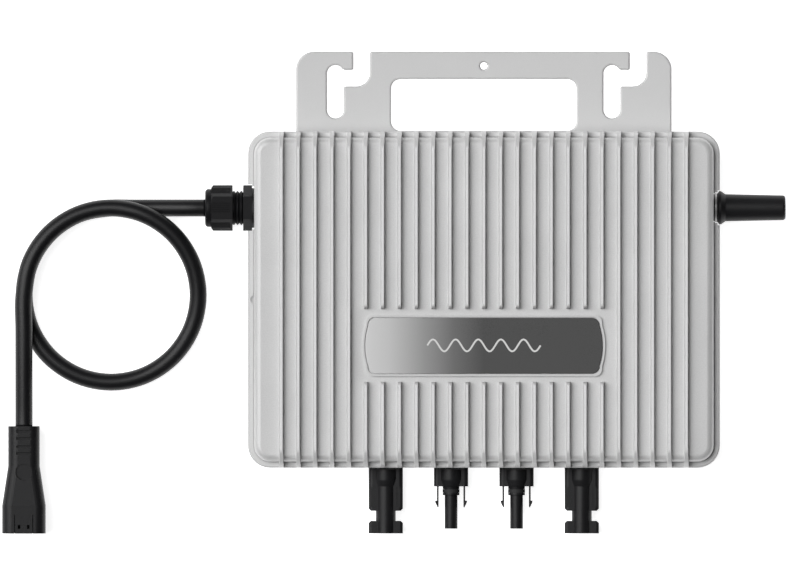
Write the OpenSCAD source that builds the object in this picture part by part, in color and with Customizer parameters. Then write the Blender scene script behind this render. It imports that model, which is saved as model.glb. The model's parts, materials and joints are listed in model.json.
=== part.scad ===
// Micro inverter: a finned aluminium housing with a hanging bracket, an AC cable with its
// plug, four DC panel connectors and a stub antenna. It lies on its back: X to the right,
// Y along the fins towards the bracket, Z out of the finned face, origin on the back face.

/* [Housing] */
// Width of the rim round the finned cover
body_w = 242; // [240:1:246]
// Height of the rim, along the fins
body_h = 172.5; // [171:0.5:176]
// How far the rim stands out past the walls
rim_overhang = 3.2; // [3:0.1:3.4]
// Height of the back tray
tray_h = 18.5; // [18.5:0.1:19]
// Height of the cover's flat face
face_z = 29; // [27:0.1:30]

/* [Fins] */
// Number of fins
fin_count = 25; // [21:2:25]
// Distance between fins
fin_pitch = 8.65; // [8.2:0.05:8.8]
// Height of the fin tips above the back face
fin_tip_z = 33; // [32:0.5:36]
// Thickness of a fin at its tip
fin_tip_w = 1.5; // [1.2:0.1:2]
// Thickness of a fin at its root
fin_root_w = 2.4; // [2.4:0.1:3.4]
// Number of fins that stop either side of the name plate
short_fins = 15; // [11:2:15]

/* [Name plate] */
// Width of the plate between its bowed ends
plate_w = 121.6; // [110:0.2:122]
// Height of the plate
plate_h = 28.6; // [26:0.2:29]
// Centre of the plate along the fins
plate_y = -23.7; // [-25:0.1:-22]

/* [Bracket] */
// Width of the bracket
bracket_w = 193; // [188:0.2:194]
// Thickness of the bracket sheet
bracket_t = 2.5; // [2:0.1:2.5]
// Top edge of the bracket
bracket_top = 127.4; // [125:0.1:130]
// Distance between the two hanging slots
slot_spacing = 142; // [138:1:144]
// Width of a hanging slot
slot_w = 8.4; // [8.2:0.1:9]

/* [AC cable] */
// Position of the cable gland along the fins
gland_y = 47; // [44:0.5:48]
// Diameter of the cable
cable_d = 8.8; // [8:0.1:9]

/* [DC connectors] */
// Distance of the inner connectors from the middle
dc_inner_x = 16.8; // [16:0.1:18]
// Distance of the outer connectors from the middle
dc_outer_x = 50.3; // [48:0.1:52]

/* [Antenna] */
// Position of the antenna along the fins
antenna_y = 47.1; // [44:0.1:48]
// Length of the antenna outside the housing
antenna_len = 37; // [30:1:60]

/* [Hidden] */
$fn = 48;
fit = 0.1;
eps = 0.01;

// Housing levels and outlines, as half sizes
rim_x = body_w / 2;
rim_y = body_h / 2;
rim_r = 11.4;
wall_x = rim_x - rim_overhang;
wall_y = rim_y - rim_overhang;
wall_r = 8.4;
gasket_t = 0.5;
rim_z0 = tray_h + gasket_t;
rim_z1 = rim_z0 + 2.7;
rim_groove = 0.5;
floor_t = 2.5;
tray_wall = 3.5;
cavity_x = wall_x - tray_wall;
cavity_y = wall_y - tray_wall;
cavity_r = 5;
ceiling_z = face_z - 3;
pocket_y = 55;
pad_z = bracket_t + 2.5;
screw_x = wall_x - 9.8;
screw_y = wall_y - 9.5;
case_screws = [for (sx = [-1, 1], y = [-screw_y, 0, screw_y]) [sx * screw_x, y]];
bracket_screw_x = 80;
bracket_screw_ys = [61, 76];
frame_w = plate_w + 2.8;
frame_h = plate_h + 2.7;
frame_z = face_z + 1.3;
label_w = 92;
label_h = 56;
label_y = -38;

// Axes of what goes through the walls
gland_z = 11.8;
gland_hex = 20.3;
gland_hex_end = 5.7;
gland_gasket_t = 1.1;
gland_stub_r = 5.9;
gland_thread_r = 8.75;
gland_thread_pitch = 1.9;
gland_thread_turns = 6;
gland_body_end = gland_hex_end + gland_thread_pitch * gland_thread_turns;
gland_nut_0 = 11.1;
gland_dome_end = 25.2;
lead_pitch = 3.2;
dc_z = 9.7;
dc_stub_r = 5.2;
antenna_stub_r = 3.2;
dc_socket_xs = [-dc_outer_x, dc_outer_x];
dc_plug_xs = [-dc_inner_x, dc_inner_x];
dc_xs = concat(dc_socket_xs, dc_plug_xs);

// Circuit board
board_x = 102;
board_y = 68;
board_z0 = 6.5;
board_z1 = 8.1;
radio_z = 11;
board_holes = [for (x = [-95, 0, 95], y = [-61, 48]) [x, y]];

// The cable's route, from the gland's face: a fall to the ground, a loop and a second
// quarter turn that lies on the first, and a straight run to the plug.
route_start = [[0, 0, 0], [-6, 0, 0], [-22, 0, -3.4], [-38, 0, -6.9]];
loop_centre = [-48.3, -44.7];
loop_r = 44.7;
loop_step = 22.5;
loop_heights = [
  4.5, 4.5, 4.5, 4.5, 4.5, 4.5, 4.5, 4.5, 4.5, 4.7, 5.8,
  7.8, 10.2, 12.6, 14.6, 15.4, 14.2, 13.6, 13.6, 13.6, 13.6
];
route_end = [[-93, -63, 1.8], [-93, -80, 1.2], [-93, -96, 0.1], [-93, -106, -0.6], [-93, -112, -0.6]];
gland_exit = [-wall_x - gland_dome_end, gland_y, gland_z];
loop_points = [
  for (i = [0 : len(loop_heights) - 1])
    let (a = 90 + i * loop_step)
      [loop_centre.x + loop_r * cos(a), loop_centre.y + loop_r * sin(a), loop_heights[i] - gland_z]
];
route = [for (p = concat(route_start, loop_points, route_end)) gland_exit + p];
plug_start = route[len(route) - 1];

// Cable plug, along its own axis
plug_half = 11.1;
plug_neck_half = 8.05;
plug_len = 55;
plug_flare_0 = 20.4;
plug_flare_1 = 40.7;
plug_corner = 5;
plug_mouth_r = 8.8;
plug_mouth_0 = 37;
plug_insert_0 = 30;
plug_core_r = 5.2;
plug_nose_0 = 39;
plug_nose_r = 5.6;
plug_latch_root = 45.5;
plug_latch_w = 9;
plug_latch_top = plug_half - 0.05;

// ---- Shared shapes ----

module round_rect(hx, hy, r) {
  square([2 * hx, 2 * (hy - r)], center = true);
  square([2 * (hx - r), 2 * hy], center = true);
  for (sx = [-1, 1], sy = [-1, 1])
    translate([sx * (hx - r), sy * (hy - r)]) circle(r);
}

module slab(hx, hy, r, z0, z1) {
  translate([0, 0, z0]) linear_extrude(z1 - z0) round_rect(hx, hy, r);
}

// A section of width w whose upper outer corner is rounded
module rounded_edge(w, edge, z0, z1) {
  translate([0, z0]) square([w, z1 - edge - z0]);
  translate([0, z0]) square([w - edge, z1 - z0]);
  translate([w - edge, z1 - edge]) circle(edge);
}

// The rim's section, whose outer edge is chamfered
module rim_edge(w) {
  chamfer = 0.7;
  polygon([[0, rim_z0], [w, rim_z0], [w, rim_z1 - chamfer], [w - chamfer, rim_z1], [0, rim_z1]]);
}

// A slab with a shaped edge, its section given: a core, four side strips and four turned corners
module edged_slab(hx, hy, r, z0, z1) {
  block([0, 0, (z0 + z1) / 2], [2 * (hx - r), 2 * (hy - r), z1 - z0]);
  for (turn = [0 : 90 : 270]) {
    across = (turn % 180 == 0 ? hx : hy) - r;
    along = (turn % 180 == 0 ? hy : hx) - r;
    rotate(turn) translate([across, 0, 0]) {
      rotate([90, 0, 0]) linear_extrude(2 * along, center = true) children();
      translate([0, along, 0]) rotate_extrude(angle = 90) children();
    }
  }
}

module ring(outer, inner, h) {
  difference() {
    cylinder(r = outer, h = h);
    translate([0, 0, -1]) cylinder(r = inner, h = h + 2);
  }
}

// A hexagonal nut with its flats up and down, or its corners when turned
module nut(across_flats, bore, h, turn = 0) {
  difference() {
    rotate(turn) cylinder(r = across_flats / 2 / cos(30), h = h, $fn = 6);
    translate([0, 0, -1]) cylinder(r = bore, h = h + 2);
  }
}

// A straight round bar from p to q
module rod(p, q, r) {
  d = q - p;
  translate(p) rotate([0, acos(d.z / norm(d)), atan2(d.y, d.x)]) cylinder(r = r, h = norm(d));
}

module block(centre, size) {
  translate(centre) cube(size, center = true);
}

// Frames of the wall fittings: their local Z points out of the housing
module at_gland() {
  translate([-wall_x, gland_y, gland_z]) rotate([0, -90, 0]) children();
}

module at_antenna() {
  translate([wall_x, antenna_y, gland_z]) rotate([0, 90, 0]) children();
}

module at_dc(x) {
  translate([x, -rim_y, dc_z]) rotate([90, 0, 0]) children();
}

module at_plug() {
  translate(plug_start) rotate([90, 0, 0]) children();
}

// ---- Housing ----

// The fins' side view from y0 to y1, whose upper corners have the radii r0 and r1
module fin_side(y0, y1, r0, r1) {
  foot = rim_z0 + 1;
  rotate([90, 0, 90]) linear_extrude(body_w, center = true) {
    translate([y0, foot]) square([y1 - y0, fin_tip_z - max(r0, r1) - foot]);
    translate([y0 + r0, foot]) square([y1 - y0 - r0 - r1, fin_tip_z - foot]);
    translate([y0 + r0, fin_tip_z - r0]) circle(r0);
    translate([y1 - r1, fin_tip_z - r1]) circle(r1);
    translate([r0 < r1 ? y0 : y1 - r1, foot]) square([min(r0, r1), fin_tip_z - min(r0, r1) - foot]);
  }
}

// Fins as full-length bars: a flared root, tapered flanks and a chamfered tip
module fin_bars(numbers) {
  foot = rim_z0 + 1;
  flare = 0.2;
  chamfer = 0.2;
  half_tip = fin_tip_w / 2;
  side = [
    [fin_root_w / 2, foot], [fin_root_w / 2, face_z], [fin_root_w / 2 - flare, face_z + 2 * flare],
    [half_tip, fin_tip_z - chamfer], [half_tip - chamfer, fin_tip_z], [half_tip - chamfer, fin_tip_z + 1]
  ];
  for (i = numbers)
    translate([i * fin_pitch, 0, 0]) rotate([90, 0, 0]) linear_extrude(body_h + 2, center = true)
      polygon(concat(side, [for (k = [len(side) - 1 : -1 : 0]) [-side[k].x, side[k].y]]));
}

module fins() {
  end_r = 10;
  inner_r = 2.4;
  gap_y0 = plate_y - 18.5;
  gap_y1 = plate_y + 19;
  half = (fin_count - 1) / 2;
  short_half = (short_fins - 1) / 2;
  intersection() {
    fin_bars([for (i = [-half : half]) if (abs(i) > short_half) i]);
    fin_side(-rim_y, rim_y, end_r, end_r);
  }
  intersection() {
    fin_bars([-short_half : short_half]);
    union() {
      fin_side(-rim_y, gap_y0, end_r, inner_r);
      fin_side(gap_y1, rim_y, inner_r, end_r);
    }
  }
}

// The name plate's outline: straight long sides and bowed short ends
module plate_outline(w, h) {
  bow_r = 35;
  bow = 1.6;
  corner = 3.8;
  round_rect(w / 2 - bow, h / 2, corner);
  for (s = [-1, 1])
    intersection() {
      translate([s * (w / 2 - bow_r), 0]) circle(bow_r);
      translate([s * (w / 2 - 10), 0]) square([20, h - 2 * corner], center = true);
    }
}

module heatsink_cover() {
  shoulder_r = 3.5;
  boss_r = 4.5;
  pilot_r = 2.05;
  dimple_r = 2.1;
  notch = 10;
  gland_notch = 21.8;
  gland_hex_notch = 23.8;
  gasket_notch = 14.6;
  washer_notch = 15.6;
  flange_notch = 17.8;
  color("silver") difference() {
    union() {
      difference() {
        edged_slab(rim_x, rim_y, rim_r, rim_z0, rim_z1) rim_edge(rim_r);
        slab(wall_x + rim_groove, wall_y + rim_groove, wall_r + rim_groove, rim_z1 - 0.6, rim_z1 + 1);
      }
      edged_slab(wall_x, wall_y, wall_r, rim_z0, face_z) rounded_edge(wall_r, shoulder_r, rim_z0, face_z);
      fins();
      translate([0, plate_y, face_z - 1]) linear_extrude(frame_z - face_z + 1)
        plate_outline(frame_w, frame_h);
    }
    difference() {
      slab(cavity_x - 2, cavity_y - 2, cavity_r, rim_z0 - 1, ceiling_z);
      for (p = case_screws)
        translate([p.x, p.y, rim_z0 - 2]) cylinder(r = boss_r, h = ceiling_z - rim_z0 + 3);
    }
    translate([0, plate_y, face_z + 0.2]) linear_extrude(3) plate_outline(plate_w + 0.9, plate_h + 0.9);
    for (p = case_screws)
      translate([p.x, p.y, rim_z0 - 1]) cylinder(r = pilot_r, h = 5);
    block([-wall_x - notch / 2, gland_y, rim_z0], [notch, gland_notch, notch]);
    block([-wall_x - notch / 2 - gland_gasket_t, gland_y + 0.1, rim_z0], [notch, gland_hex_notch, notch]);
    block([wall_x + notch / 2, antenna_y, rim_z0], [notch, gasket_notch, notch]);
    block([wall_x + notch / 2 + 0.7, antenna_y, rim_z0], [notch, washer_notch, notch]);
    block([wall_x + notch / 2 + 2.1, antenna_y, rim_z0], [notch, flange_notch, notch]);
    for (s = [-1, 1])
      translate([s * (wall_x - 0.2), 0, rim_z1 - 1.4]) cylinder(r = dimple_r, h = 3);
  }
}

module back_tray() {
  boss_r = 4.5;
  color("darkgray") difference() {
    union() {
      difference() {
        slab(wall_x, wall_y, wall_r, 0, tray_h);
        slab(cavity_x, cavity_y, cavity_r, floor_t, tray_h + 1);
      }
      intersection() {
        slab(cavity_x + 1, cavity_y + 1, cavity_r, 0, pad_z);
        block([0, cavity_y, pad_z / 2], [2 * cavity_x + 2, 2 * (cavity_y - pocket_y + 2.5), pad_z]);
      }
      for (p = case_screws)
        translate([p.x, p.y, 1]) cylinder(r = boss_r, h = tray_h - 1);
    }
    block([0, pocket_y + 50, bracket_t / 2 - 1], [bracket_w + 0.6, 100, bracket_t + 2]);
    block([0, label_y, 0], [label_w, label_h, 0.6]);
    for (p = case_screws)
      translate([p.x, p.y, -1]) {
        cylinder(r = 2.1, h = tray_h + 2);
        cylinder(r = 3.8, h = 3.2);
      }
    for (s = [-1, 1], y = bracket_screw_ys)
      translate([s * bracket_screw_x, y, 1]) cylinder(r = 1.95, h = pad_z - 1.3);
    at_gland() translate([0, 0, -6]) cylinder(r = gland_stub_r + fit, h = 8);
    at_antenna() translate([0, 0, -6]) cylinder(r = antenna_stub_r + fit, h = 8);
    for (x = dc_xs)
      at_dc(x) translate([0, 0, -8]) cylinder(r = dc_stub_r + fit, h = 8);
  }
}

module perimeter_gasket() {
  color("dimgray") difference() {
    slab(wall_x, wall_y, wall_r, tray_h, rim_z0);
    slab(cavity_x, cavity_y, cavity_r, tray_h - 1, rim_z0 + 1);
  }
}

module case_screws() {
  color("gainsboro")
    for (p = case_screws)
      translate([p.x, p.y, 0]) difference() {
        union() {
          translate([0, 0, 0.2]) cylinder(r = 3.6, h = 2);
          translate([0, 0, 2.1]) cylinder(r = 2, h = tray_h + 1);
        }
        translate([0, 0, -1]) cylinder(r = 1.6, h = 2.4, $fn = 6);
      }
}

// ---- Bracket ----

// What a convex corner loses when it is rounded, with the corner at the origin
module corner_cut(r) {
  difference() {
    square(r);
    translate([r, r]) circle(r);
  }
}

module hanging_slot() {
  r = slot_w / 2;
  low_y = 97.4;
  high_y = 116.1;
  ledge_y = 109.6;
  tooth_y = 117.8;
  tooth_x = 9.3;
  mouth_x = 17.6;
  sweep_r = 7;
  tooth_r = 1.2;
  translate([0, low_y]) circle(r);
  translate([0, high_y]) circle(r);
  translate([-r, low_y]) square([slot_w, high_y - low_y]);
  translate([0, ledge_y]) square([mouth_x - sweep_r, tooth_y - ledge_y]);
  translate([mouth_x - sweep_r, ledge_y + sweep_r]) intersection() {
    circle(sweep_r);
    translate([0, -sweep_r]) square(sweep_r);
  }
  translate([tooth_x, ledge_y + sweep_r]) square([mouth_x - tooth_x, bracket_top]);
  translate([tooth_x, tooth_y]) mirror([1, 0]) corner_cut(tooth_r);
  translate([tooth_x, bracket_top]) rotate(180) corner_cut(tooth_r);
  translate([mouth_x, bracket_top]) mirror([0, 1]) corner_cut(tooth_r);
  translate([r, ledge_y]) mirror([0, 1]) corner_cut(tooth_r);
}

module mounting_bracket() {
  window_x = 47.5;
  window_y0 = 86.8;
  window_y1 = 113.1;
  window_r = 4.7;
  corner = 9.3;
  slot_shift = -5.2;
  pin_hole_y = 120;
  pin_hole_r = 1.8;
  screw_hole_r = 2;
  sink_r = 3.7;
  mid_y = (pocket_y + bracket_top) / 2;
  color("lightgray") difference() {
    linear_extrude(bracket_t) difference() {
      translate([0, mid_y]) round_rect(bracket_w / 2, bracket_top - mid_y, corner);
      translate([0, (window_y0 + window_y1) / 2])
        round_rect(window_x, (window_y1 - window_y0) / 2, window_r);
      for (s = [-1, 1])
        translate([s * slot_spacing / 2 + slot_shift, 0]) hanging_slot();
    }
    translate([0, pin_hole_y, -1]) cylinder(r = pin_hole_r, h = bracket_t + 2);
    for (s = [-1, 1], y = bracket_screw_ys)
      translate([s * bracket_screw_x, y, 0]) {
        translate([0, 0, -eps]) cylinder(r1 = sink_r, r2 = screw_hole_r, h = 1.8);
        cylinder(r = screw_hole_r, h = bracket_t + 1);
      }
  }
}

module bracket_screws() {
  color("gainsboro")
    for (s = [-1, 1], y = bracket_screw_ys)
      translate([s * bracket_screw_x, y, 0]) difference() {
        union() {
          translate([0, 0, 0.1]) cylinder(r1 = 3.5, r2 = 1.9, h = 1.6);
          translate([0, 0, 0.2]) cylinder(r = 1.9, h = pad_z - 0.6);
        }
        translate([0, 0, -1]) cylinder(r = 1.2, h = 2, $fn = 6);
      }
}

module name_plate() {
  color("dimgray") translate([0, plate_y, face_z + 0.4]) linear_extrude(0.8)
    plate_outline(plate_w, plate_h);
}

module name_plate_tape() {
  color("white") translate([0, plate_y, face_z + 0.2]) linear_extrude(0.2)
    plate_outline(plate_w - 3, plate_h - 3);
}

module rating_label() {
  color("whitesmoke") block([0, label_y, 0.2], [label_w - 1, label_h - 1, 0.2]);
}

// ---- Circuit board and what is on it ----

module main_board() {
  color("darkgreen") difference() {
    slab(board_x, board_y, 2, board_z0, board_z1);
    for (p = board_holes)
      translate([p.x, p.y, board_z0 - 1]) cylinder(r = 1.7, h = 4);
  }
}

module board_standoffs() {
  color("goldenrod")
    for (p = board_holes)
      translate([p.x, p.y, floor_t]) nut(6, 1.55, board_z0 - floor_t);
}

module board_screws() {
  color("gainsboro")
    for (p = board_holes)
      translate([p.x, p.y, 0]) {
        translate([0, 0, board_z1]) cylinder(r = 2.8, h = 1.8);
        translate([0, 0, floor_t + 0.5]) cylinder(r = 1.5, h = board_z1 - floor_t);
      }
}

module at_transformers() {
  for (x = [-54, -18, 18, 54])
    translate([x, -20, board_z1]) children();
}

module transformer_cores() {
  h = 13;
  window_h = 8.6;
  color("darkslategray") at_transformers() translate([0, 0, h / 2]) difference() {
    cube([32, 27, h], center = true);
    difference() {
      cube([23, 28, window_h], center = true);
      cylinder(r = 5, h = window_h, center = true);
    }
  }
}

module transformer_windings() {
  color("chocolate") at_transformers() translate([0, 0, 2.5]) ring(11, 5.3, 8);
}

module dc_capacitors() {
  r = 6.2;
  color("black")
    for (x = [-75, -45, -15, 15, 45, 75])
      translate([x, -50, board_z1 + r]) rotate([0, 90, 0]) cylinder(r = r, h = 22, center = true);
}

module film_capacitors() {
  color("gold")
    for (x = [0, 14, 28])
      block([x, 14, board_z1 + 6.5], [10, 26, 13]);
}

module at_choke() {
  translate([-72, 14, board_z1 + 1.5]) children();
}

module choke_core() {
  color("darkslategray") at_choke() ring(12, 6.5, 9);
}

module choke_winding() {
  color("chocolate") at_choke()
    for (a = [30 : 30 : 330])
      rotate(a) translate([9.25, 0, 4.5]) difference() {
        cube([8.3, 1.8, 11.8], center = true);
        cube([5.9, 3, 9.4], center = true);
      }
}

module at_transistors() {
  for (i = [-3.5 : 3.5])
    translate([15 * i, 56, 0]) children();
}

module power_transistors() {
  top = ceiling_z - 0.3;
  color("black") at_transistors() {
    block([0, 0, top - 2.2], [10, 15, 4.4]);
    for (x = [-2.5, 0, 2.5]) {
      block([x, -10, top - 2.6], [0.8, 5.4, 0.6]);
      block([x, -12.4, (board_z1 + top - 2.3) / 2], [0.8, 0.6, top - 2.3 - board_z1]);
    }
  }
}

module thermal_pads() {
  color("lightblue") at_transistors() block([0, 0, ceiling_z - 0.15], [12, 17, 0.3]);
}

module transistor_clamp_bar() {
  color("silver") difference() {
    block([0, 56, ceiling_z - 5.5], [118, 7, 1.6]);
    for (x = [-45, 0, 45])
      translate([x, 56, 0]) cylinder(r = 1.5, h = ceiling_z);
  }
}

module clamp_screws() {
  bar_z = ceiling_z - 6.3;
  color("gainsboro")
    for (x = [-45, 0, 45])
      translate([x, 56, bar_z]) {
        translate([0, 0, -1.6]) cylinder(r = 2.6, h = 1.6);
        cylinder(r = 1.4, h = 6);
      }
}

module relays() {
  color("black")
    for (x = [-46, -24])
      block([x, 14, board_z1 + 6.8], [19, 15, 13.6]);
}

module control_board() {
  deck_z = 14;
  color("darkgreen") translate([66, 14, 0]) {
    block([0, 0, deck_z], [52, 34, 1.2]);
    for (x = [-22 : 4 : 22])
      block([x, 15, (board_z1 + deck_z) / 2], [0.8, 0.8, deck_z - board_z1]);
    block([-10, -4, deck_z + 1.2], [14, 14, 1.2]);
    block([10, -4, deck_z + 1.1], [8, 10, 1]);
  }
}

module radio_module() {
  deck_z = radio_z;
  color("darkblue") translate([84, antenna_y, 0]) {
    block([0, 0, deck_z], [26, 14, 1]);
    block([-2, 0, deck_z + 1.7], [18, 12, 2.4]);
    for (x = [-11, 11], y = [-5, 5])
      block([x, y, (board_z1 + deck_z) / 2], [0.8, 0.8, deck_z - board_z1]);
  }
}

module ac_terminal_block() {
  color("seagreen") difference() {
    block([-94, gland_y - 6, board_z1 + 5], [9, 30, 10]);
    for (k = [-1 : 1])
      translate([-100, gland_y + lead_pitch * k, gland_z]) rotate([0, 90, 0]) cylinder(r = 1.3, h = 8);
    translate([-95, gland_y + 1, board_z1 - 1]) cylinder(r = 3.2, h = 3);
  }
}

module ac_leads() {
  color("saddlebrown")
    for (k = [-1 : 1])
      translate([-wall_x + 11.1, gland_y + lead_pitch * k, gland_z])
        rotate([0, 90, 0]) cylinder(r = 1.1, h = 14.2);
}

module fuse() {
  color("ivory") translate([-72, 38, board_z1 + 3.2]) rotate([0, 90, 0]) {
    cylinder(r = 2.5, h = 20, center = true);
    for (s = [-1, 1])
      translate([0, 0, s * 8]) cylinder(r = 3, h = 5, center = true);
  }
}

// ---- AC gland, along its own axis ----

module thread(r, core, pitch, z0, turns) {
  translate([0, 0, z0]) rotate_extrude() {
    translate([0, -0.5]) square([core, pitch * turns + 0.5]);
    for (i = [0 : turns - 1])
      translate([core - eps, pitch * i])
        polygon([[0, 0], [r - core, 0.35 * pitch], [r - core, 0.65 * pitch], [0, pitch]]);
  }
}

module gland_body() {
  bore = 4.6;
  core_r = 7.8;
  seal_seat_r = 7.3;
  seal_seat_0 = 7;
  color("dimgray") at_gland() difference() {
    union() {
      rotate(30) translate([0, 0, gland_gasket_t])
        cylinder(r = gland_hex / 2 / cos(30), h = gland_hex_end - gland_gasket_t, $fn = 6);
      translate([0, 0, -7.5]) cylinder(r = gland_stub_r, h = 9);
      thread(gland_thread_r, core_r, gland_thread_pitch, gland_hex_end, gland_thread_turns);
    }
    translate([0, 0, -8]) cylinder(r = bore, h = 30);
    translate([0, 0, seal_seat_0]) cylinder(r = seal_seat_r, h = 20);
  }
}

module gland_gasket() {
  color("black") at_gland() ring(10.2, gland_stub_r + fit, gland_gasket_t);
}

module gland_lock_nut() {
  color("dimgray") at_gland() translate([0, 0, -tray_wall - 3.6]) nut(13.8, gland_stub_r + 0.05, 3.6, 30);
}

// The rubber sleeve that grips the cable; its collar is what the nut pushes on
module gland_seal() {
  color("black") at_gland() difference() {
    union() {
      translate([0, 0, 9]) cylinder(r = 7.2, h = 10);
      translate([0, 0, gland_body_end + 0.6]) cylinder(r = 8.2, h = 2.2);
    }
    cylinder(r = cable_d / 2 + 0.06, h = 30);
  }
}

module gland_clamp_nut() {
  hex_end = 22.1;
  hex_h = hex_end - gland_nut_0;
  thread_depth = 9.7;
  dome_r = 9.75;
  corner_r = gland_hex / 2 / cos(30);
  pocket_d = 0.8;
  pocket_l = 10.3;
  color("dimgray") at_gland() difference() {
    union() {
      intersection() {
        translate([0, 0, gland_nut_0]) rotate(30) cylinder(r = corner_r, h = hex_h, $fn = 6);
        rotate_extrude()
          polygon([
            [0, 0], [corner_r, 0], [corner_r, hex_end - 1], [corner_r - 1.3, hex_end], [0, hex_end]
          ]);
      }
      rotate_extrude()
        polygon([
          [0, hex_end - 1], [dome_r, hex_end - 1], [dome_r, gland_dome_end - 1.3],
          [dome_r - 0.5, gland_dome_end - 0.4], [dome_r - 1.4, gland_dome_end], [0, gland_dome_end]
        ]);
    }
    translate([0, 0, gland_nut_0 - 1]) cylinder(r = gland_thread_r + fit, h = thread_depth + 1);
    cylinder(r = cable_d / 2 + 0.35, h = 40);
    for (a = [0 : 60 : 300])
      rotate(a) translate([gland_hex / 2, 0, gland_nut_0 + 1 + pocket_l / 2])
        for (y = [-2.2 : 1.1 : 2.2])
          translate([0, y, 0]) cube([2 * pocket_d, 0.75, pocket_l], center = true);
  }
}

// ---- Cable ----

function unit(v) = v / norm(v);
function tangent(path, i) = unit(path[min(i + 1, len(path) - 1)] - path[max(i - 1, 0)]);
function ring_points(path, i, r, n) =
  let (t = tangent(path, i), side = unit(cross(t, [0, 0, 1])), up = cross(side, t))
    [for (k = [0 : n - 1]) path[i] + r * (cos(360 * k / n) * side + sin(360 * k / n) * up)];

module tube(path, r, n) {
  last = len(path) - 1;
  points = [for (i = [0 : last]) each ring_points(path, i, r, n)];
  walls = [
    for (i = [0 : last - 1], k = [0 : n - 1])
      let (a = i * n + k, b = i * n + (k + 1) % n)
        each [[a, b, b + n], [a, b + n, a + n]]
  ];
  caps = [[for (k = [n - 1 : -1 : 0]) k], [for (k = [0 : n - 1]) last * n + k]];
  polyhedron(points, concat(walls, caps));
}

module ac_cable() {
  color("black") tube(route, cable_d / 2, 12);
}

// The same cable's straight end, from the gland's face to where its jacket is stripped
module cable_inner_end() {
  color("black") at_gland() translate([0, 0, -11.1]) cylinder(r = cable_d / 2, h = 11.1 + gland_dome_end);
}

// ---- Cable plug, along its own axis ----

module plug_section(half, z0, z1) {
  translate([0, 0, z0]) linear_extrude(z1 - z0) round_rect(half, half, plug_corner);
}

module plug_strain_relief() {
  groove = 1.3;
  color("black") at_plug() difference() {
    plug_section(plug_neck_half, 0, 16.5);
    for (z = [2.6, 6.3, 10.5, 14], a = [0 : 90 : 270])
      rotate(a) translate([plug_neck_half, 0, z]) cube([3, 7.6, groove], center = true);
  }
}

module plug_shell() {
  latch_slot = plug_latch_w + 0.7;
  slot_0 = plug_latch_root;
  color("black") at_plug() difference() {
    union() {
      plug_section(plug_neck_half, 16.5, plug_flare_0 + eps);
      hull() {
        plug_section(plug_neck_half, plug_flare_0, plug_flare_0 + eps, $fn = 32);
        plug_section(plug_half, plug_flare_1, plug_flare_1 + eps, $fn = 32);
      }
      plug_section(plug_half, plug_flare_1, plug_len);
    }
    translate([0, 0, plug_mouth_0]) cylinder(r = plug_mouth_r, h = plug_len);
    translate([0, 0, plug_insert_0]) cylinder(r = plug_core_r + 0.05, h = 10);
    translate([0, plug_neck_half - 0.6, 23.5]) rotate([-90, 0, 0]) cylinder(r = 4.2, h = 10);
    translate([0, plug_latch_top - 0.75, plug_latch_root]) rotate([0, 90, 0])
      cylinder(r = 0.8, h = latch_slot, center = true);
    block([0, plug_half - 1.5, (slot_0 + plug_len) / 2 + 1], [latch_slot, 6, plug_len - slot_0 + 2]);
  }
}

module plug_insert() {
  color("dimgray") at_plug() difference() {
    union() {
      translate([0, 0, plug_insert_0]) cylinder(r = plug_core_r, h = plug_nose_0 - plug_insert_0);
      translate([0, 0, plug_nose_0]) cylinder(r = plug_nose_r, h = 11);
    }
    for (a = [90, 210, 330])
      rotate(a) translate([2.9, 0, 34]) cylinder(r = 1.25, h = 20);
  }
}

module plug_contacts() {
  color("goldenrod") at_plug()
    for (a = [90, 210, 330])
      rotate(a) translate([2.9, 0, 34.2]) ring(1.2, 0.8, 15);
}

module plug_seal() {
  color("black") at_plug() translate([0, 0, plug_mouth_0])
    ring(plug_mouth_r - 0.05, plug_core_r + 0.05, plug_nose_0 - plug_mouth_0);
}

module plug_latch() {
  root_r = 0.75;
  mid_y = plug_latch_top - root_r;
  color("black") at_plug() difference() {
    union() {
      translate([0, mid_y, plug_latch_root]) rotate([0, 90, 0])
        cylinder(r = root_r, h = plug_latch_w, center = true);
      block([0, mid_y, (plug_latch_root + plug_len) / 2],
        [plug_latch_w, 2 * root_r, plug_len - plug_latch_root]);
    }
    for (s = [-1, 1])
      block([s * 2.35, mid_y, 51.6], [1.3, 4, 2]);
    block([0, plug_latch_top, 51.6], [3.6, 0.8, 2]);
  }
}

// ---- DC connectors, along their own axes ----

dc_half = 8.8;
dc_wing_t = 3.4;
dc_arm_x = 6.8;
dc_arm_root = 8.7;
dc_seat = -rim_overhang;

module dc_wings(half_x, half_y, z0, z1) {
  translate([0, 0, z0]) linear_extrude(z1 - z0) round_rect(half_x, half_y, 2);
}

// The part at the wall: a threaded stub, a flange and a round collar
module dc_base(end) {
  collar_end = 9.6;
  collar_r = 6.2;
  tip_r = 5.15;
  translate([0, 0, dc_seat - 8]) cylinder(r = dc_stub_r, h = 10);
  dc_wings(dc_half, collar_r, dc_seat + 1, 1);
  dc_wings(dc_half, dc_wing_t, 0, end);
  rotate_extrude() polygon([[0, 0], [collar_r, 0], [collar_r, 6], [tip_r, collar_end], [0, collar_end]]);
}

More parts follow.
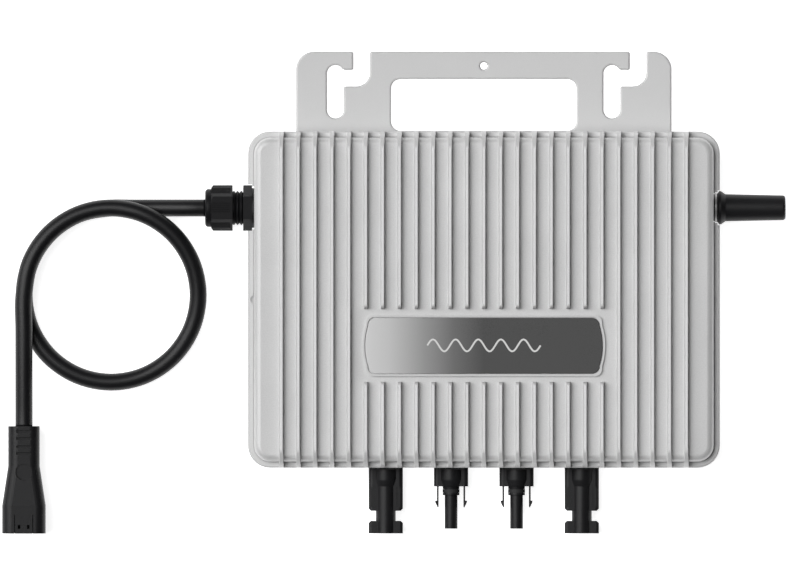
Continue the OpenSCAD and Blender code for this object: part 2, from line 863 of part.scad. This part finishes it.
module dc_socket(x) {
  bore = 4.4;
  shell_end = 22.15;
  foot_0 = 27.35;
  foot_1 = 33.75;
  color("black") at_dc(x) difference() {
    union() {
      dc_base(shell_end);
      cylinder(r = 5.1, h = foot_1);
      translate([0, 0, foot_0]) linear_extrude(foot_1 - foot_0) round_rect(dc_half, dc_wing_t, 1.5);
    }
    translate([0, 0, 15]) cylinder(r = bore, h = 30);
    translate([0, 0, dc_seat - 9]) cylinder(r = 1.6, h = 30);
    for (s = [-1, 1]) {
      block([s * 6.55, dc_wing_t + 1.7, 15.2], [1.9, 4, 10.3]);
      block([s * 6.9, 0, 28], [1.8, 5.4, 30]);
    }
    for (s = [-1, 1], z = [foot_0, shell_end])
      translate([s * dc_half, 0, z]) rotate([0, 45, 0]) cube([1.6, 14, 1.6], center = true);
  }
}

module dc_socket_left() {
  dc_socket(-dc_outer_x);
}

module dc_socket_right() {
  dc_socket(dc_outer_x);
}

module dc_plug(x) {
  collar_end = 9.65;
  seal_end = 14.15;
  tube_end = 31.35;
  seat_r = 0.75;
  color("black") at_dc(x) difference() {
    union() {
      dc_base(collar_end);
      cylinder(r = 4.3, h = seal_end);
      cylinder(r = 3.3, h = tube_end);
    }
    translate([0, 0, 11]) ring(5, 3.6, 2);
    translate([0, 0, dc_seat - 9]) cylinder(r = 2.05, h = 50);
    for (s = [-1, 1])
      translate([s * dc_arm_x, 0, dc_arm_root]) {
        rotate([90, 0, 0]) cylinder(r = seat_r, h = 5.2, center = true);
        block([0, 0, 1.3], [2, 5.2, 2]);
      }
  }
}

module dc_plug_left() {
  dc_plug(-dc_inner_x);
}

module dc_plug_right() {
  dc_plug(dc_inner_x);
}

// A sprung arm with a round root and a barb that points away from the connector
module dc_latch(x, side) {
  root_r = 0.7;
  thick = 0.9;
  depth = 5;
  tip = 20.65;
  barb_0 = 16.95;
  color("black") at_dc(x) translate([side * dc_arm_x, 0, 0]) {
    translate([0, 0, dc_arm_root]) rotate([90, 0, 0]) cylinder(r = root_r, h = depth, center = true);
    rotate([90, 0, 0]) linear_extrude(depth, center = true)
      polygon([
        [-side * thick / 2, dc_arm_root], [side * thick / 2, dc_arm_root],
        [side * thick / 2, barb_0], [side * (thick / 2 + 0.9), barb_0],
        [side * (thick / 2 + 0.9), barb_0 + 0.8], [0, tip], [-side * thick / 2, tip - 0.6]
      ]);
  }
}

module left_plug_outer_latch() {
  dc_latch(-dc_inner_x, -1);
}

module left_plug_inner_latch() {
  dc_latch(-dc_inner_x, 1);
}

module right_plug_inner_latch() {
  dc_latch(dc_inner_x, -1);
}

module right_plug_outer_latch() {
  dc_latch(dc_inner_x, 1);
}

module dc_pins() {
  color("goldenrod")
    for (x = dc_socket_xs)
      at_dc(x) translate([0, 0, dc_seat - 9]) cylinder(r = 1.55, h = 26);
}

module dc_sleeves() {
  color("goldenrod")
    for (x = dc_plug_xs)
      at_dc(x) translate([0, 0, dc_seat - 9]) difference() {
        cylinder(r = 2, h = 42);
        translate([0, 0, 24]) cylinder(r = 1.3, h = 20);
      }
}

module dc_seal_rings() {
  color("black")
    for (x = dc_plug_xs)
      at_dc(x) translate([0, 0, 11.1]) ring(4.35, 3.65, 1.8);
}

module dc_panel_nuts() {
  color("dimgray")
    for (x = dc_xs)
      at_dc(x) translate([0, 0, dc_seat - tray_wall - 3.6]) nut(12.2, dc_stub_r + 0.05, 3.6, 30);
}

module dc_gaskets() {
  color("dimgray")
    for (x = dc_xs)
      at_dc(x) translate([0, 0, dc_seat]) intersection() {
        ring(8.4, dc_stub_r + 0.05, 1);
        block([0, 0, 0], [20, 12.4, 4]);
      }
}

module dc_leads() {
  stub = [0, -rim_y - dc_seat + 9, dc_z];
  land = [0, -66, board_z1 + 1.2];
  color("firebrick")
    for (x = dc_xs)
      rod([x, 0, 0] + stub, [x, 0, 0] + land, 1.2);
}

// ---- Antenna, along its own axis ----

module antenna_sleeve() {
  seat_r = 7.5;
  seat_0 = 1.8;
  flange_r = 8.6;
  foot_r = 7;
  tip_r = 6.4;
  edge = 1.5;
  color("black") at_antenna() {
    rotate_extrude() {
      polygon([
        [0, seat_0], [seat_r, seat_0], [seat_r, 2.2], [flange_r, 2.9], [flange_r, 3.9],
        [foot_r, 6.2], [tip_r, antenna_len - edge], [0, antenna_len - edge]
      ]);
      intersection() {
        translate([tip_r - edge, antenna_len - edge]) circle(edge);
        translate([0, antenna_len - edge - eps]) square([tip_r, edge + 1]);
      }
      translate([0, antenna_len - edge - eps]) square([tip_r - edge, edge + eps]);
    }
    translate([0, 0, -9]) cylinder(r = antenna_stub_r, h = 11);
  }
}

module antenna_washer() {
  washer_r = 7.55;
  color("gainsboro") at_antenna() translate([0, 0, 0.7]) ring(washer_r, antenna_stub_r + fit, 1.1);
}

module antenna_gasket() {
  color("black") at_antenna() ring(7, antenna_stub_r + fit, 0.7);
}

module antenna_nut() {
  color("goldenrod") at_antenna() translate([0, 0, -tray_wall - 3]) nut(10, antenna_stub_r + 0.05, 3);
}

module antenna_coax() {
  color("black") rod([wall_x - 9, antenna_y, gland_z], [91.1, antenna_y, radio_z + 1.7], 0.7);
}

// ---- Assembly ----

heatsink_cover();
back_tray();
perimeter_gasket();
case_screws();
mounting_bracket();
bracket_screws();
name_plate();
name_plate_tape();
rating_label();
main_board();
board_standoffs();
board_screws();
transformer_cores();
transformer_windings();
dc_capacitors();
film_capacitors();
choke_core();
choke_winding();
power_transistors();
thermal_pads();
transistor_clamp_bar();
clamp_screws();
relays();
control_board();
radio_module();
ac_terminal_block();
ac_leads();
fuse();
gland_body();
gland_gasket();
gland_lock_nut();
gland_seal();
gland_clamp_nut();
cable_inner_end();
ac_cable();
plug_strain_relief();
plug_shell();
plug_insert();
plug_contacts();
plug_seal();
plug_latch();
dc_socket_left();
dc_socket_right();
dc_plug_left();
dc_plug_right();
left_plug_outer_latch();
left_plug_inner_latch();
right_plug_inner_latch();
right_plug_outer_latch();
dc_pins();
dc_sleeves();
dc_seal_rings();
dc_panel_nuts();
dc_gaskets();
dc_leads();
antenna_sleeve();
antenna_washer();
antenna_gasket();
antenna_nut();
antenna_coax();
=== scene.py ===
"""Looks for a micro inverter: a finned cast housing, its bracket, cable, plugs and antenna."""

import json
import math

import bmesh
import bpy
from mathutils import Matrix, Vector


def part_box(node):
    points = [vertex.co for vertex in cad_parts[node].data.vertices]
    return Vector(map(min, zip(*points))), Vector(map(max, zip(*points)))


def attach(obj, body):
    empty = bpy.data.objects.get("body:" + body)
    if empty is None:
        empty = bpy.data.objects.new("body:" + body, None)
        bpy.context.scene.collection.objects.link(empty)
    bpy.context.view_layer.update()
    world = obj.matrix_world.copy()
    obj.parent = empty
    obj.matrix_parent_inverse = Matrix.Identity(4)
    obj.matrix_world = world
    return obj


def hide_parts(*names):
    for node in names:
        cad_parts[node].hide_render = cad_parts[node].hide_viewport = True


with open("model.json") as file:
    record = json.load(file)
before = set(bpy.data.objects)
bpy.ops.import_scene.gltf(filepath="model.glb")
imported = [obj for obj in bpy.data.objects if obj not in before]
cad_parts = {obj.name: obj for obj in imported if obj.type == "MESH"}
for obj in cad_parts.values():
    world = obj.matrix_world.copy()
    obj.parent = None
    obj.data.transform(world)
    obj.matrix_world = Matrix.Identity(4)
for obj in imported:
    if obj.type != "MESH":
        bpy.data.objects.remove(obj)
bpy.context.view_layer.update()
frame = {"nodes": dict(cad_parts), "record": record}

MM = 0.001
scene = bpy.context.scene
scene.view_settings.view_transform = "Standard"

# ---- Camera: straight above the finned face, with a long lens ----

FRAME_WIDTH = 0.4031
FRAME_CENTRE = (-0.0466, 0.0031)
SHARP_HEIGHT = 0.02
LENS = 1200
SENSOR = 36
camera = bpy.data.objects.new("camera", bpy.data.cameras.new("camera"))
camera.data.lens = LENS
camera.data.sensor_width = SENSOR
camera.data.clip_end = 20
camera.location = (*FRAME_CENTRE, SHARP_HEIGHT + FRAME_WIDTH * LENS / SENSOR)
scene.collection.objects.link(camera)
scene.camera = camera

# ---- AC cable: the route in part.scad, in metres ----

CABLE_D = 8.8 * MM
CABLE_SIDES = 28
PATH_STEPS = 6
EXIT_HEIGHT = 11.8
GLAND_EXIT = Vector((-143.0, 47.0, EXIT_HEIGHT)) * MM
START = [(0, 0, 0), (-6, 0, 0), (-22, 0, -3.4), (-38, 0, -6.9)]
LOOP_CENTRE = (-48.3, -44.7)
LOOP_R = 44.7
LOOP_STEP = math.radians(22.5)
LOOP_HEIGHTS = [4.5] * 9 + [4.7, 5.8, 7.8, 10.2, 12.6, 14.6, 15.4, 14.2] + [13.6] * 4
END = [(-93, -63, 1.8), (-93, -80, 1.2), (-93, -96, 0.1), (-93, -106, -0.6), (-93, -112, -0.6)]


def loop_point(i, height):
    """The loop's point i at a height above the ground, seen from the gland's exit."""
    angle = math.pi / 2 + i * LOOP_STEP
    return (
        LOOP_CENTRE[0] + LOOP_R * math.cos(angle),
        LOOP_CENTRE[1] + LOOP_R * math.sin(angle),
        height - EXIT_HEIGHT,
    )


route = START + [loop_point(i, z) for i, z in enumerate(LOOP_HEIGHTS)] + END
route = [GLAND_EXIT + Vector(p) * MM for p in route]


def smooth_path(points, steps):
    """Points along one smooth curve that goes through each of the route's points."""
    spans = [(b - a).length for a, b in zip(points, points[1:])]
    slopes = [(b - a) / d for a, b, d in zip(points, points[1:], spans)]
    tangents = [slopes[0]]
    for before, after, d0, d1 in zip(slopes, slopes[1:], spans, spans[1:]):
        tangents.append((before * d1 + after * d0) / (d0 + d1))
    tangents.append(slopes[-1])
    path = []
    for i, d in enumerate(spans):
        for k in range(steps):
            t = k / steps
            path.append(
                (2 * t**3 - 3 * t**2 + 1) * points[i]
                + (t**3 - 2 * t**2 + t) * d * tangents[i]
                + (3 * t**2 - 2 * t**3) * points[i + 1]
                + (t**3 - t**2) * d * tangents[i + 1]
            )
    return path + [points[-1]]


def lofted(name, rings, smooth=False):
    """A closed solid through rings of points; smooth shading leaves its round ends flat."""
    bm = bmesh.new()
    rings = [[bm.verts.new(point) for point in ring] for ring in rings]
    sides = len(rings[0])
    for ring, following in zip(rings, rings[1:]):
        for k in range(sides):
            n = (k + 1) % sides
            bm.faces.new((ring[k], ring[n], following[n], following[k]))
    bm.faces.new(rings[0][::-1])
    bm.faces.new(rings[-1])
    bmesh.ops.recalc_face_normals(bm, faces=bm.faces)
    mesh = bpy.data.meshes.new(name)
    bm.to_mesh(mesh)
    bm.free()
    if smooth:
        mesh.polygons.foreach_set("use_smooth", [len(face.vertices) == 4 for face in mesh.polygons])
    piece = bpy.data.objects.new(name, mesh)
    scene.collection.objects.link(piece)
    return piece


def tube(name, path, radius, sides):
    """A closed round tube along a path that is never vertical."""
    angles = [2 * math.pi * k / sides for k in range(sides)]
    rings = []
    for i, p in enumerate(path):
        along = (path[min(i + 1, len(path) - 1)] - path[max(i - 1, 0)]).normalized()
        side = along.cross(Vector((0, 0, 1))).normalized()
        up = side.cross(along)
        rings.append([p + radius * (math.cos(a) * side + math.sin(a) * up) for a in angles])
    return lofted(name, rings, smooth=True)


cable_path = smooth_path(route, PATH_STEPS)
cable = tube("ac_cable_jacket", cable_path, CABLE_D / 2, CABLE_SIDES)
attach(cable, "inverter")
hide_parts("ac_cable")

# ---- A plain wave printed on the name plate ----

PLATE_Y = -23.5 * MM
PLATE_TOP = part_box("name_plate")[1][2]
PRINT_SINK = 0.02 * MM
STEPS_PER_TURN = 24


def wave_band(name, centre, length, height, width, turns, thickness):
    """A flat printed band that runs as a sine wave along X, its underside at the centre's height."""
    steps = STEPS_PER_TURN * turns
    amplitude = (height - width) / 2
    up = Vector((0, 0, thickness))
    rings = []
    for i in range(steps + 1):
        angle = 2 * math.pi * turns * i / steps
        middle = centre + Vector((length * (i / steps - 0.5), amplitude * math.sin(angle), 0))
        slope = 2 * math.pi * turns * amplitude / length * math.cos(angle)
        across = Vector((-slope, 1, 0)).normalized() * width / 2
        rings.append((middle - across, middle + across, middle + across + up, middle - across + up))
    return lofted(name, rings)


wave = wave_band(
    "plate_wave",
    centre=Vector((0, PLATE_Y, PLATE_TOP - PRINT_SINK)),
    length=58 * MM,
    height=7 * MM,
    width=0.9 * MM,
    turns=5,
    thickness=0.06 * MM,
)
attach(wave, "inverter")

# ---- Materials ----

NOISE_LOW, NOISE_HIGH = 0.3, 0.7
BROAD_SHARE = 0.4
BROAD_TO_FINE = 60
GLOSS_SPREAD = 0.06
COLOUR_A, COLOUR_B, COLOUR_OUT = 6, 7, 2


def grained(name, colour, rough, metal=0.0, grain=2500, bump=0.1, tone=0.06, specular=0.5):
    """A moulded, cast or coated finish: fine grain, broad tone changes and uneven gloss."""
    mat = bpy.data.materials.new(name)
    mat.use_nodes = True
    nodes, links = mat.node_tree.nodes, mat.node_tree.links
    shader = nodes["Principled BSDF"]
    shader.inputs["Metallic"].default_value = metal
    shader.inputs["Specular IOR Level"].default_value = specular
    coords = nodes.new("ShaderNodeTexCoord")

    def noise(scale, detail):
        node = nodes.new("ShaderNodeTexNoise")
        node.inputs["Scale"].default_value = scale
        node.inputs["Detail"].default_value = detail
        links.new(coords.outputs["Object"], node.inputs["Vector"])
        return node

    fine = noise(grain, 3.0)
    broad = noise(grain / BROAD_TO_FINE, 2.0)
    blend = nodes.new("ShaderNodeMix")
    blend.inputs["Factor"].default_value = BROAD_SHARE
    links.new(fine.outputs["Fac"], blend.inputs["A"])
    links.new(broad.outputs["Fac"], blend.inputs["B"])
    tones = nodes.new("ShaderNodeValToRGB")
    ends = ((NOISE_LOW, 1 - tone), (NOISE_HIGH, 1 + tone))
    for element, (position, factor) in zip(tones.color_ramp.elements, ends):
        element.position = position
        element.color = [min(1, c * factor) for c in colour] + [1]
    links.new(blend.outputs["Result"], tones.inputs["Fac"])
    links.new(tones.outputs["Color"], shader.inputs["Base Color"])
    gloss = nodes.new("ShaderNodeMapRange")
    gloss.inputs["From Min"].default_value = NOISE_LOW
    gloss.inputs["From Max"].default_value = NOISE_HIGH
    gloss.inputs["To Min"].default_value = rough - GLOSS_SPREAD
    gloss.inputs["To Max"].default_value = rough + GLOSS_SPREAD
    links.new(blend.outputs["Result"], gloss.inputs["Value"])
    links.new(gloss.outputs["Result"], shader.inputs["Roughness"])
    relief = nodes.new("ShaderNodeBump")
    relief.inputs["Strength"].default_value = bump
    relief.inputs["Distance"].default_value = 0.1 * MM
    links.new(fine.outputs["Fac"], relief.inputs["Height"])
    links.new(relief.outputs["Normal"], shader.inputs["Normal"])
    return mat


def base_and_axis(mat, axis):
    """A finish's shader, its base colour as it is so far, and a coordinate of the object."""
    nodes, links = mat.node_tree.nodes, mat.node_tree.links
    shader = nodes["Principled BSDF"]
    colour = shader.inputs["Base Color"].links[0].from_socket
    coords = nodes.new("ShaderNodeTexCoord")
    split = nodes.new("ShaderNodeSeparateXYZ")
    links.new(coords.outputs["Object"], split.inputs["Vector"])
    return shader, colour, split.outputs[axis]


def paint_crest_highlight(mat, height, depth, gain):
    """Paints a highlight into a finish: its colour is lightened over the last stretch below a
    height, standing in for the light on the fins' crests.
    """
    nodes, links = mat.node_tree.nodes, mat.node_tree.links
    shader, colour, z = base_and_axis(mat, "Z")
    highlight_gain = nodes.new("ShaderNodeMapRange")
    highlight_gain.inputs["From Min"].default_value = height - depth
    highlight_gain.inputs["From Max"].default_value = height
    highlight_gain.inputs["To Min"].default_value = 1.0
    highlight_gain.inputs["To Max"].default_value = gain
    links.new(z, highlight_gain.inputs["Value"])
    scale = nodes.new("ShaderNodeVectorMath")
    scale.operation = "SCALE"
    links.new(colour, scale.inputs[0])
    links.new(highlight_gain.outputs["Result"], scale.inputs["Scale"])
    links.new(scale.outputs["Vector"], shader.inputs["Base Color"])


def paint_reflection_fade(mat, half_width, stops, share):
    """Paints a reflection into a finish: its colour fades along X through grey stops, each a place
    from end to end and a value, standing in for a glossy sheen.
    """
    nodes, links = mat.node_tree.nodes, mat.node_tree.links
    shader, colour, x = base_and_axis(mat, "X")
    along = nodes.new("ShaderNodeMapRange")
    along.inputs["From Min"].default_value = -half_width
    along.inputs["From Max"].default_value = half_width
    links.new(x, along.inputs["Value"])
    reflection_fade = nodes.new("ShaderNodeValToRGB")
    ramp = reflection_fade.color_ramp
    while len(ramp.elements) < len(stops):
        ramp.elements.new(0.5)
    for element, (position, value) in zip(ramp.elements, stops):
        element.position = position
        element.color = (value, value, value, 1)
    links.new(along.outputs["Result"], reflection_fade.inputs["Fac"])
    mix = nodes.new("ShaderNodeMix")
    mix.data_type = "RGBA"
    mix.inputs["Factor"].default_value = share
    links.new(colour, mix.inputs[COLOUR_A])
    links.new(reflection_fade.outputs["Color"], mix.inputs[COLOUR_B])
    links.new(mix.outputs[COLOUR_OUT], shader.inputs["Base Color"])


LOOKS = {
    "cast_aluminium": dict(
        colour=(0.62, 0.62, 0.62), rough=0.42, metal=0.1, grain=1800, bump=0.3, tone=0.08
    ),
    "tray_aluminium": dict(
        colour=(0.52, 0.52, 0.52), rough=0.5, metal=0.25, grain=1800, bump=0.35, tone=0.1
    ),
    "bracket_metal": dict(
        colour=(0.62, 0.62, 0.62), rough=0.42, metal=0.1, grain=2600, bump=0.12, tone=0.03
    ),
    "screw_steel": dict(colour=(0.66, 0.66, 0.66), rough=0.45, metal=0.4, grain=1500, bump=0.05),
    "black_rubber": dict(colour=(0.016, 0.016, 0.017), rough=0.7, grain=2200, bump=0.2),
    "cable_rubber": dict(
        colour=(0.008, 0.008, 0.009), rough=0.42, grain=1800, bump=0.12, tone=0.15, specular=0.3
    ),
    "plate_gloss": dict(colour=(0.09, 0.09, 0.09), rough=0.3, bump=0.03, specular=0.15),
    "tape": dict(colour=(0.6, 0.6, 0.58), rough=0.8, grain=1200, bump=0.2),
    "label_film": dict(colour=(0.75, 0.75, 0.74), rough=0.4, grain=900, bump=0.05, tone=0.02),
    "circuit_board": dict(colour=(0.015, 0.12, 0.05), rough=0.35, grain=900, tone=0.15),
    "brass": dict(colour=(0.72, 0.5, 0.22), rough=0.3, metal=1.0, grain=1500, bump=0.05),
    "ferrite": dict(colour=(0.03, 0.03, 0.035), rough=0.6, grain=1400, bump=0.3),
    "copper_wire": dict(colour=(0.6, 0.25, 0.1), rough=0.35, metal=0.9, grain=1800, bump=0.15),
    "black_epoxy": dict(colour=(0.02, 0.02, 0.02), rough=0.45, grain=1500),
    "capacitor_film": dict(colour=(0.62, 0.45, 0.08), rough=0.4, grain=1200),
    "thermal_pad": dict(colour=(0.35, 0.5, 0.62), rough=0.85, grain=1500, bump=0.3),
    "bar_aluminium": dict(colour=(0.62, 0.62, 0.63), rough=0.35, metal=0.9, grain=1600),
    "terminal_green": dict(colour=(0.03, 0.25, 0.09), rough=0.4, grain=1500),
    "wire_jacket": dict(colour=(0.25, 0.07, 0.04), rough=0.45, grain=1800),
    "fuse_ceramic": dict(colour=(0.7, 0.68, 0.62), rough=0.3, grain=1500, bump=0.05),
    "black_plastic": dict(
        colour=(0.012, 0.012, 0.013), rough=0.42, grain=2400, bump=0.2, tone=0.12, specular=0.2
    ),
    "gland_nylon": dict(
        colour=(0.008, 0.008, 0.009), rough=0.5, grain=2400, bump=0.2, tone=0.12, specular=0.13
    ),
}
FIN_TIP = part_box("heatsink_cover")[1][2]
# Depth below the fin tips over which a highlight is painted into the colour.
CREST_HIGHLIGHT_DEPTH = 0.4 * MM
PLATE_HALF = 61 * MM
# Grey stops of the painted reflection on the name plate: light at the left end, dark from the middle
# on.
PAINTED_REFLECTION_STOPS = [(0.0, 0.8), (0.1, 0.68), (0.25, 0.37), (0.375, 0.18), (0.5, 0.085), (1.0, 0.08)]

finishes = {name: grained(name, **look) for name, look in LOOKS.items()}
# Painted highlight: the cast aluminium's colour is lightened along the fins' crests.
paint_crest_highlight(finishes["cast_aluminium"], FIN_TIP, CREST_HIGHLIGHT_DEPTH, gain=1.25)
# Painted reflection: the name plate's colour fades from light grey at the left to dark.
paint_reflection_fade(finishes["plate_gloss"], PLATE_HALF, PAINTED_REFLECTION_STOPS, share=0.9)

for part in frame["record"]["subparts"]:
    mesh = frame["nodes"][part["node"]].data
    mesh.materials.clear()
    mesh.materials.append(finishes[part["material_slot"]])
cable.data.materials.append(finishes["cable_rubber"])
wave.data.materials.append(finishes["label_film"])

# ---- Softened edges on what shows ----

# Width of the rounding on each piece, in millimetres.
SOFT_EDGES = {
    "heatsink_cover": 0.15,
    "back_tray": 0.5,
    "mounting_bracket": 1.0,
    "name_plate": 0.3,
    "gland_body": 0.25,
    "gland_clamp_nut": 0.2,
    "plug_strain_relief": 0.3,
    "plug_shell": 0.4,
    "plug_latch": 0.25,
    "dc_socket_left": 0.3,
    "dc_socket_right": 0.3,
    "dc_plug_left": 0.3,
    "dc_plug_right": 0.3,
    "left_plug_outer_latch": 0.15,
    "left_plug_inner_latch": 0.15,
    "right_plug_inner_latch": 0.15,
    "right_plug_outer_latch": 0.15,
    "antenna_washer": 0.2,
}
SHEETS = ("mounting_bracket", "name_plate")
WELD_GAP = 0.001 * MM
FLAT_ANGLE = math.radians(0.3)
SHARP_ANGLE = math.radians(35)


def soften(node, width, flat_sheet):
    """Rounds the sharp edges; on a flat sheet the triangles of each face are joined first."""
    weld = node.modifiers.new("weld", "WELD")
    weld.merge_threshold = WELD_GAP
    if flat_sheet:
        flats = node.modifiers.new("flats", "DECIMATE")
        flats.decimate_type = "DISSOLVE"
        flats.angle_limit = FLAT_ANGLE
    bevel = node.modifiers.new("soft_edges", "BEVEL")
    bevel.width = width * MM
    bevel.segments = 2
    bevel.limit_method = "ANGLE"
    bevel.angle_limit = SHARP_ANGLE
    bevel.use_clamp_overlap = not flat_sheet
    bevel.loop_slide = not flat_sheet
    if flat_sheet:
        bevel.harden_normals = True
    else:
        normals = node.modifiers.new("normals", "WEIGHTED_NORMAL")
        normals.keep_sharp = True


for name, width in SOFT_EDGES.items():
    soften(frame["nodes"][name], width, name in SHEETS)

# ---- Floor and light ----

FLOOR_HALF = 3.0
FLOOR_Z = -0.5 * MM

corners = [(-1, -1), (1, -1), (1, 1), (-1, 1)]
mesh = bpy.data.meshes.new("floor")
mesh.from_pydata([(x * FLOOR_HALF, y * FLOOR_HALF, FLOOR_Z) for x, y in corners], [], [(0, 1, 2, 3)])
floor = bpy.data.objects.new("floor", mesh)
scene.collection.objects.link(floor)
floor_mat = bpy.data.materials.new("floor")
floor_mat.use_nodes = True
floor_shader = floor_mat.node_tree.nodes["Principled BSDF"]
floor_shader.inputs["Base Color"].default_value = (0.9, 0.9, 0.9, 1)
floor_shader.inputs["Roughness"].default_value = 0.9
floor_shader.inputs["Specular IOR Level"].default_value = 0.1
floor_shader.inputs["Emission Color"].default_value = (1, 1, 1, 1)
floor_shader.inputs["Emission Strength"].default_value = 0.86
mesh.materials.append(floor_mat)


def sun(name, towards, angle, strength):
    """A soft light from far away in a direction; a wider angle in degrees is softer."""
    data = bpy.data.lights.new(name, "SUN")
    data.angle = math.radians(angle)
    data.energy = strength
    light = bpy.data.objects.new(name, data)
    light.rotation_euler = Vector(towards).to_track_quat("Z", "Y").to_euler()
    scene.collection.objects.link(light)


sun("top", (-0.44, 0.18, 1.0), 44, 2.25)
sun("side", (-0.86, 0.24, 0.62), 24, 0.75)

# A dome that is brightest where the main light comes from.
DOME_TOP = (-0.5, 0.15, 0.85)
DOME_DARK, DOME_BRIGHT = 0.02, 0.32
world = bpy.data.worlds.new("studio")
world.use_nodes = True
nodes, links = world.node_tree.nodes, world.node_tree.links
direction = nodes.new("ShaderNodeTexCoord")
facing = nodes.new("ShaderNodeVectorMath")
facing.operation = "DOT_PRODUCT"
facing.inputs[1].default_value = DOME_TOP
links.new(direction.outputs["Generated"], facing.inputs[0])
dome = nodes.new("ShaderNodeMapRange")
dome.inputs["To Min"].default_value = DOME_DARK
dome.inputs["To Max"].default_value = DOME_BRIGHT
links.new(facing.outputs["Value"], dome.inputs["Value"])
links.new(dome.outputs["Result"], nodes["Background"].inputs["Strength"])
scene.world = world

bpy.context.view_layer.update()
